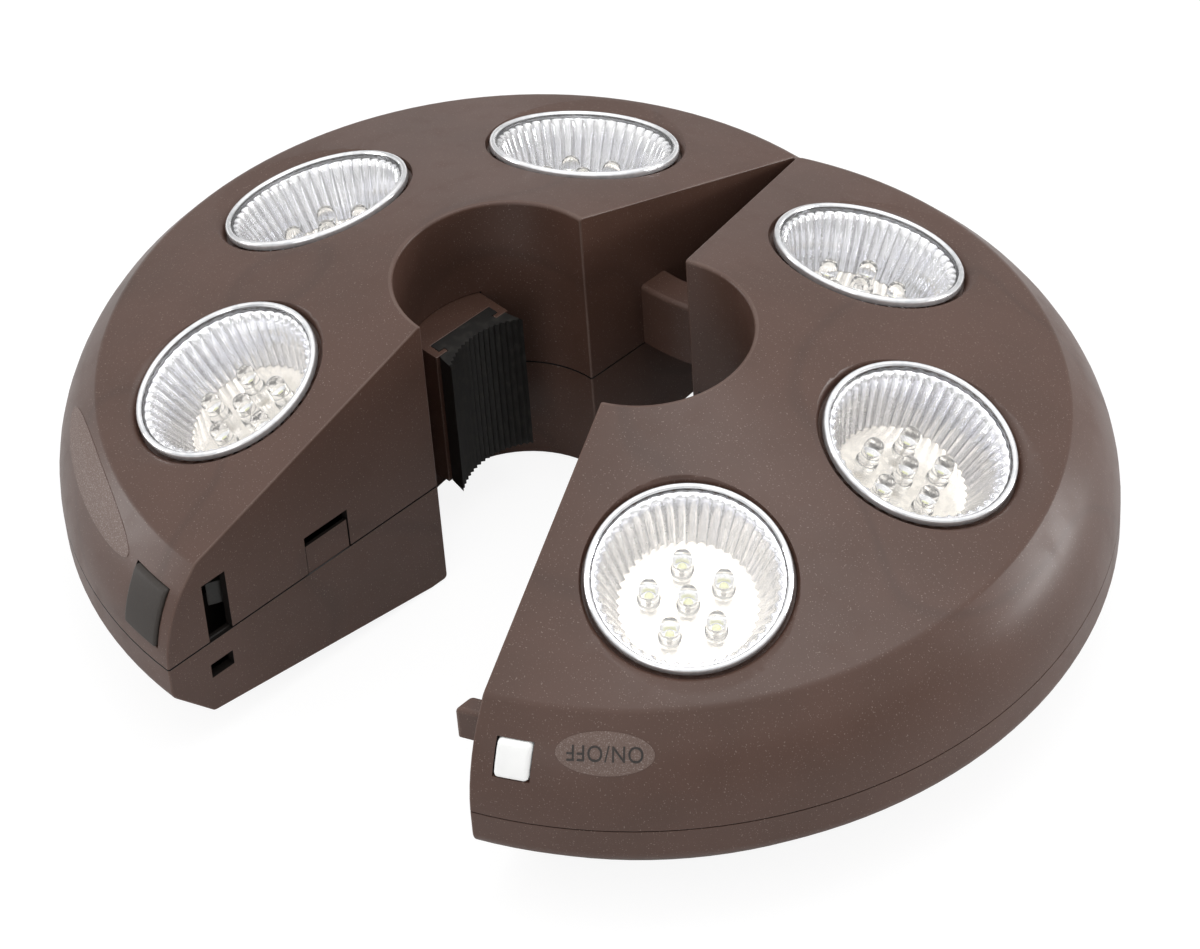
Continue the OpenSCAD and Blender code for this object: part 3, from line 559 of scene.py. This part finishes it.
# ---------------------------------------------------------------- lamps
# Six lamps, each a plated cup with 44 flutes over a pale round board, behind a clear
# disc with a raised bright rim. They sit tilted outwards in holes of the upper shells.
FLUTES = 44
FLUTE_STEPS = 6
LAMP_RING = 0.0725
LAMP_Z = 0.071482
LAMP_TILT = math.radians(20.4)
FLUTE_TOP = -2.6
CUP = [(16.5, -16.9), (17.3, -14.6), (18.4, -11.2), (19.5, -7.6), (20.7, -4.2),
       (21.5, FLUTE_TOP), (22.1, -2.3), (23.6, -2.32)]
FLUTE_SHARE = 0.045         # depth of a flute, as a share of the cup's radius
LENS = [(24.8, -2.2), (25.0, -2.0), (25.0, -0.9), (24.9, -0.45), (24.6, -0.12), (24.2, 0),
        (23.9, -0.05), (23.65, -0.25), (23.5, -0.6), (23.2, -0.85), (22.8, -0.9), (0, -0.9)]
RIM_INSIDE = 0.0234
RIM_FOOT = -0.0021


def turned(name, sides, outline):
    """A round piece drawn up ring by ring, in millimetres; a ring of no radius closes it."""
    nothing_picked()
    r, z = outline[0]
    bpy.ops.mesh.primitive_circle_add(vertices=sides, radius=r * MM, location=(0, 0, z * MM))
    piece = bpy.context.object
    piece.name = name
    bpy.ops.object.transform_apply(location=True, rotation=False, scale=False)
    bpy.ops.object.mode_set(mode="EDIT")
    bpy.ops.mesh.select_mode(type="VERT")
    bpy.ops.mesh.select_all(action="SELECT")
    for next_r, next_z in outline[1:]:
        bpy.ops.mesh.extrude_region_move(
            TRANSFORM_OT_translate={"value": (0, 0, (next_z - z) * MM)})
        if next_r:
            bpy.ops.transform.resize(value=(next_r / r, next_r / r, 1),
                                     center_override=(0, 0, next_z * MM))
        else:
            bpy.ops.mesh.merge(type="CENTER")
        r, z = next_r, next_z
    bpy.ops.object.mode_set(mode="OBJECT")
    return piece


def faces_out(piece):
    work_on(piece)
    bpy.ops.object.mode_set(mode="EDIT")
    bpy.ops.mesh.select_all(action="SELECT")
    bpy.ops.mesh.normals_make_consistent(inside=False)
    bpy.ops.object.mode_set(mode="OBJECT")


def close_ends(piece):
    """Fill every open ring and turn the faces outwards."""
    work_on(piece)
    pick(piece, "edges", lambda edge: len(edge.link_faces) == 1)
    bpy.ops.mesh.edge_face_add()
    faces_out(piece)


def lamp_place(n):
    """Place of lamp n: 1 to 3 on the left from the front, 4 to 6 on the right from behind."""
    side, turn = (-1, 180 - 60 * (n - 2)) if n <= 3 else (1, 60 * (5 - n))
    return (half_place(side) @ Matrix.Rotation(math.radians(turn), 4, "Z")
            @ Matrix.Translation((LAMP_RING, 0, LAMP_Z)) @ Matrix.Rotation(LAMP_TILT, 4, "Y"))


def half_of(n):
    return "left_half" if n <= 3 else "right_half"


def set_out(name, parts, places):
    """Copies of some parts at each place, joined into one piece."""
    copies = []
    for place in places:
        for part in parts:
            copy = bpy.data.objects.new(name, part.data.copy())
            bpy.context.scene.collection.objects.link(copy)
            copy.data.transform(place)
            copies.append(copy)
    nothing_picked()
    for copy in copies:
        copy.select_set(True)
    bpy.context.view_layer.objects.active = copies[0]
    if len(copies) > 1:
        bpy.ops.object.join()
    return bpy.context.object


def throw_away(*parts):
    for part in parts:
        bpy.data.objects.remove(part)


plated = Finish("plated_flutes")
haze = plated.noise(260, 3, (1, 1, 0.25)).smooth(0.35, 0.75)
plated.set(Base_Color=plated.blend(haze, (0.97, 0.97, 0.98), (0.88, 0.88, 0.92)),
           Metallic=1.0, Roughness=0.14 + 0.08 * haze,
           Normal=plated.bump(plated.noise(180, 1), 0.00004, 0.06))
# the flute ridges are a darker grey than the cup: painted shade for the flutes' dark lines
ridge = Finish("plated_ridges", Metallic=1.0)
ridge_shade_tone = ridge.noise(400, 2)
ridge.set(Base_Color=ridge.blend(ridge_shade_tone, (0.60, 0.59, 0.60), (0.76, 0.75, 0.76)),
          Roughness=0.22 + 0.1 * ridge_shade_tone)
clear = Finish("clear_acrylic", Base_Color=(1, 1, 1), IOR=1.49, Transmission_Weight=1.0)
clear.set(Roughness=0.01 + 0.03 * clear.noise(300, 2).smooth(0.5, 0.8))
rim = Finish("bright_rim", Metallic=0.7)
streak = rim.noise(500, 2).smooth(0.4, 0.7)
rim.set(Base_Color=rim.blend(streak, (0.88, 0.88, 0.89), (0.74, 0.75, 0.77)),
        Roughness=0.08 + 0.10 * streak)
cream = Finish("cream_board", Metallic=0.75)
print_marks = cream.noise(380, 1).smooth(0.45, 0.55)
cream.set(Base_Color=cream.blend(print_marks, (0.93, 0.88, 0.80), (0.87, 0.82, 0.74)),
          Roughness=0.16 + 0.10 * print_marks)

cup = turned("cup", FLUTES * FLUTE_STEPS, CUP)
for step in range(1, FLUTE_STEPS):
    work_on(cup)
    pick(cup, "verts", lambda point: point.index % FLUTE_STEPS == step)
    out = 1 + FLUTE_SHARE * math.sin(math.pi * step / FLUTE_STEPS)
    bpy.ops.transform.resize(value=(out, out, 1), center_override=(0, 0, 0))
faces_out(cup)
cup.data.materials.append(plated.material)
cup.data.materials.append(ridge.material)
flute_turn = math.tau / FLUTES


def on_ridge(face):
    middle = face.calc_center_median()
    share = math.atan2(middle.y, middle.x) % flute_turn / flute_turn
    return middle.z < FLUTE_TOP * MM and share < 1 / FLUTE_STEPS


# the ridge strip of each flute gets the darker painted shade
assign(cup, 1, on_ridge)
apply_modifier(cup, "SOLIDIFY", thickness=0.0007, offset=1)
smooth_by(cup, 40)

lens = turned("lens", 96, LENS)
lens.data.materials.append(clear.material)
lens.data.materials.append(rim.material)
close_ends(lens)
assign(lens, 1, lambda face: (face.calc_center_median().xy.length > RIM_INSIDE
                              and face.calc_center_median().z > RIM_FOOT))
smooth_by(lens, 50)
apply_modifier(lens, "WEIGHTED_NORMAL", keep_sharp=True, weight=100)

for n in range(1, 7):
    piece = set_out(f"lamp_{n}_cup", [cup], [lamp_place(n)])
    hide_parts(f"reflector_{n}")
    dress(piece, half_of(n), "reflector_silver")
    piece = set_out(f"lamp_{n}_lens", [lens], [lamp_place(n)])
    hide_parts(f"lens_{n}")
    dress(piece, half_of(n), "lens_clear")
throw_away(cup, lens)


# ---------------------------------------------------------------- LEDs
# Six 5 mm LEDs stand on each board, one in the middle of a ring of five: a clear dome on
# a base ring, with two leads and a plated bowl inside that holds the pale yellow chip,
# which is given a faint painted glow.
FLOOR_Z = -17.0
LED_RING = 0.0096
DOME_R = 2.5
DOME_Z = 6.1                # where the straight side ends
DOME = ([(2.9, 0), (2.9, 0.8), (2.75, 1.0), (DOME_R, 1.05), (DOME_R, DOME_Z)]
        + [(DOME_R * math.cos(math.radians(a)), DOME_Z + DOME_R * math.sin(math.radians(a)))
           for a in range(15, 90, 15)] + [(0, 8.6)])
BOWL = [(0.5, 3.3), (1.25, 4.6), (1.15, 4.6), (0.75, 4.1), (0, 4.1)]
CHIP = [(0.45, 4.12), (0.45, 4.35), (0.35, 4.45), (0, 4.5)]
LEAD = [(0.28, 0.1), (0.28, 3.0), (0.55, 3.3), (0.5, 3.6), (0, 3.7)]

epoxy = Finish("clear_epoxy", IOR=1.5, Transmission_Weight=1.0)
epoxy.set(Base_Color=epoxy.blend(epoxy.noise(300, 1), (0.97, 0.98, 1.0), (1, 1, 1)),
          Roughness=0.01 + 0.02 * epoxy.noise(700, 1))
# the chips glow faintly: painted light that brightens them, though the LEDs give no light here
chip_yellow = Finish("chip_yellow", Emission_Strength=0.35)
chip_grain = chip_yellow.noise(2500, 1)
chip_yellow.set(Base_Color=chip_yellow.blend(chip_grain, (0.86, 0.88, 0.42), (0.95, 0.94, 0.62)),
                Emission_Color=chip_yellow.blend(chip_grain, (0.9, 0.9, 0.45), (1, 1, 0.7)),
                Roughness=0.5)
lead_metal = Finish("lead_metal", Metallic=1.0)
lead_metal.set(Base_Color=lead_metal.blend(lead_metal.noise(1500, 2), (0.8, 0.8, 0.8),
                                           (0.93, 0.92, 0.9)), Roughness=0.22)

parts = []
for name, sides, outline, material in (("dome", 24, DOME, epoxy), ("bowl", 16, BOWL, lead_metal),
                                       ("chip", 12, CHIP, chip_yellow),
                                       ("lead", 8, LEAD, lead_metal)):
    part = turned(name, sides, outline)
    part.data.materials.append(material.material)
    close_ends(part)
    smooth_by(part, 50)
    apply_modifier(part, "WEIGHTED_NORMAL", keep_sharp=True, weight=100)
    parts.append(part)
led_places = [Matrix.Identity(4)] + [
    Matrix.Rotation(math.radians(180 + 72 * k), 4, "Z") @ Matrix.Translation((LED_RING, 0, 0))
    for k in range(5)]
led = set_out("led", parts, [Matrix.Identity(4)])
throw_away(*parts)
for n in range(1, 7):
    floor_place = lamp_place(n) @ Matrix.Translation((0, 0, FLOOR_Z * MM))
    piece = set_out(f"lamp_{n}_leds", [led], [floor_place @ place for place in led_places])
    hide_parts(f"leds_{n}")
    dress(piece, half_of(n), "led_clear")
throw_away(led)


def paint(material, *names):
    """Give carried-over pieces of the frame their finish."""
    for name in names:
        slots = nodes[name].data.materials
        if not slots:
            slots.append(material)
        for i in range(len(slots)):
            slots[i] = material


paint(cream.material, *[f"led_board_{n}" for n in range(1, 7)])


# ---------------------------------------------------------------- lock and power buttons
# The black lock button is one with a dark bolt that shows through the tall slot. The
# white power button presses on a small switch. All are moulded with soft edges.
def softened(node, name, body, slot, width, steps, *materials, limit=40, clamp=True):
    """A copy of a frame piece with its edges rounded."""
    piece = copy_of(node, name)
    while len(piece.data.materials) < 2:
        piece.data.materials.append(None)
    work_on(piece)
    round_off(piece, lambda edge: len(edge.link_faces) == 2
              and edge.calc_face_angle() > math.radians(limit), width, steps, clamp)
    smooth_by(piece, 35)
    apply_modifier(piece, "WEIGHTED_NORMAL", keep_sharp=True, weight=100)
    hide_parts(node)
    dress(piece, body, slot, *(materials if len(materials) > 1 else materials * 2))


black = Finish("black_button", Specular_IOR_Level=0.35)
dust = black.noise(1800, 2).smooth(0.5, 0.8)
black.set(Base_Color=black.blend(dust, (0.030, 0.024, 0.020), (0.048, 0.039, 0.033)),
          Roughness=0.5 + 0.12 * dust, Normal=black.bump(black.noise(2600, 2), 0.00006, 0.4))
grey = Finish("grey_bolt", Specular_IOR_Level=0.35)
worn = grey.noise(220, 3).smooth(0.45, 0.7)
grey.set(Base_Color=grey.blend(worn, (0.016, 0.015, 0.013), (0.036, 0.033, 0.029)),
         Roughness=0.38 + 0.1 * worn)
white = Finish("white_button")
tint = white.noise(90, 2).smooth(0.3, 0.7)
white.set(Base_Color=white.blend(tint, (0.97, 0.97, 0.96), (0.93, 0.93, 0.92)),
          Roughness=0.28 + 0.08 * tint)

softened("lock_button", "lock_button_cap", "lock", "button_black", 0.0008, 4, black.material,
         clamp=False)
softened("latch_bolt", "lock_bolt", "lock", "latch_grey", 0.0003, 2, grey.material)
softened("power_button", "power_button_cap", "power", "button_white", 0.0012, 5,
         white.material, clamp=False)
paint(grey.material, "power_switch")


# ---------------------------------------------------------------- pole pads
# In each half of the bore stands a sprung carrier of the brown plastic that holds a
# ribbed pad of black rubber between two lips.
rubber = Finish("black_rubber", Specular_IOR_Level=0.3)
bloom = rubber.noise(420, 4).smooth(0.45, 0.8)
rubber.set(Base_Color=rubber.blend(bloom, (0.012, 0.011, 0.010), (0.030, 0.028, 0.024)),
           Roughness=0.5 + 0.2 * bloom, Normal=rubber.bump(rubber.noise(2000, 2), 0.00005, 0.4))
for side in ("left", "right"):
    # the carrier's rounded edges get the paler brown, a painted highlight
    softened(f"{side}_pad_carrier", f"{side}_carrier", f"{side}_pad", "shell_brown", 0.0005, 3,
             shell_brown, shell_painted_highlight)
    softened(f"{side}_pad_rubber", f"{side}_rubber", f"{side}_pad", "pad_rubber", 0.00012, 2,
             rubber.material, limit=25)


# ---------------------------------------------------------------- hinge pin, springs, screws
# Bright zinc plated steel, drawn or turned; all of it sits inside the case. The springs of
# the pads and the lock are copied as they are and do not shorten.
steel = Finish("zinc_steel", Metallic=1.0)
drawn = steel.noise(600, 3, (1, 1, 0.1)).smooth(0.35, 0.75)
steel.set(Base_Color=steel.blend(drawn, (0.62, 0.62, 0.64), (0.74, 0.74, 0.75)),
          Roughness=0.22 + 0.16 * drawn, Normal=steel.bump(drawn, 0.00002, 0.3))
paint(steel.material, "hinge_pin", "left_screws", "right_screws", "left_battery_contacts",
      "right_battery_contacts")


def squeezed(node, name, body, joint_name):
    """Smooth copies of springs; how much a joint's travel would shorten them is worked out and
    left unused.
    """
    joint = next(joint for joint in frame["record"]["behaviour"]["joints"]
                 if joint["name"] == joint_name)
    along = Vector(joint["axis"])
    piece = copy_of(node, name)
    smooth_by(piece, 50)
    reach = [point.co.dot(along) for point in piece.data.vertices]
    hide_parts(node)
    dress(piece, body, "steel", steel.material)
    1 - joint["range_m"][1] / (max(reach) - min(reach))
    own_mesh(piece)


squeezed("lock_spring", "lock_coil", "left_half", "lock_press")
squeezed("left_pad_springs", "left_pad_coils", "left_half", "left_pad_slide")
squeezed("right_pad_springs", "right_pad_coils", "right_half", "right_pad_slide")


# ---------------------------------------------------------------- battery doors, cells, board
# A hinged brown door closes each battery bay from below. Two AA cells in plain dark
# sleeves lie over it, and the driver board is a small green one.
for side in ("left", "right"):
    # the door's rounded edges get the paler brown, a painted highlight
    softened(f"{side}_battery_door", f"{side}_door_panel", f"{side}_door", "shell_brown",
             0.0003, 2, shell_brown, shell_painted_highlight)
sleeve = Finish("cell_sleeve")
shrink = sleeve.noise(160, 3).smooth(0.35, 0.7)
sleeve.set(Base_Color=sleeve.blend(shrink, (0.030, 0.045, 0.062), (0.045, 0.066, 0.085)),
           Roughness=0.22 + 0.12 * shrink)
paint(sleeve.material, "left_batteries", "right_batteries")
mask = Finish("green_board")
traces = mask.noise(800, 0).smooth(0.48, 0.52)
mask.set(Base_Color=mask.blend(traces, (0.010, 0.075, 0.035), (0.020, 0.120, 0.055)),
         Roughness=0.3 + 0.1 * traces, Normal=mask.bump(traces, 0.00004, 0.5))
paint(mask.material, "driver_board")
